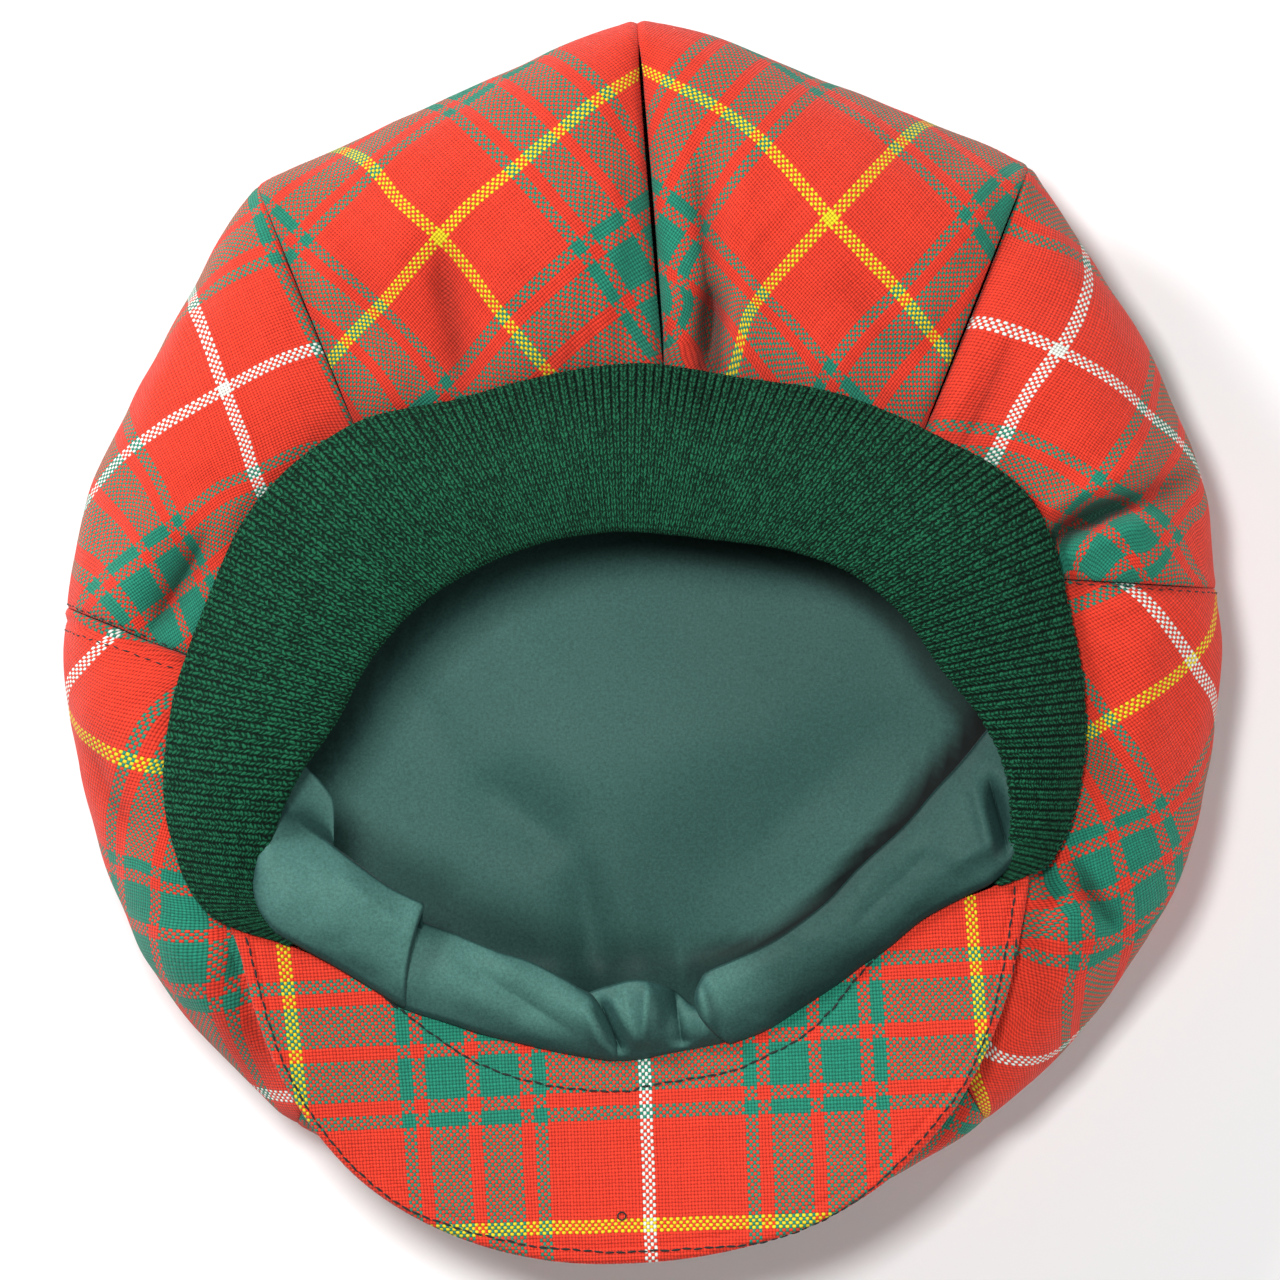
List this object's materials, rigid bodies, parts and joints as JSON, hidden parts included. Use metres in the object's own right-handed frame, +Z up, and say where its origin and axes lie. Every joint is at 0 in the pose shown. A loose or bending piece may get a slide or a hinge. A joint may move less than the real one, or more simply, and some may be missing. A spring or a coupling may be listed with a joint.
{
  "type": "tartan flat cap",
  "caption": "Panelled tartan flat cap lying on its crown with the head opening up, with a ribbed knit band, satin lining and sweatband, and a cloth-covered peak.",
  "frame": {"origin": "on the surface that the cap lies on, under the middle of its outline", "axes": "+Z up out of the head opening, +Y from the peak to the back of the cap, +X to the right in the picture"},
  "size_m": [0.2747, 0.2958, 0.077],
  "materials": {
    "tartan_cloth": "plain-weave wool-blend tartan, red, green, yellow and white",
    "rib_knit": "dark green ribbed wool knit",
    "satin_lining": "teal-green satin with a soft sheen"
  },
  "bodies": {
    "root": {"crown_panel_back_left": "tartan_cloth", "crown_panel_left_rear": "tartan_cloth", "crown_panel_left_fore": "tartan_cloth", "crown_panel_front_left": "tartan_cloth", "crown_panel_front_right": "tartan_cloth", "crown_panel_right_fore": "tartan_cloth", "crown_panel_right_rear": "tartan_cloth", "crown_panel_back_right": "tartan_cloth", "crown_button": "tartan_cloth", "satin_lining": "satin_lining", "rib_band": "rib_knit", "peak": "tartan_cloth", "front_sweatband": "satin_lining"}
  },
  "joints": []
}
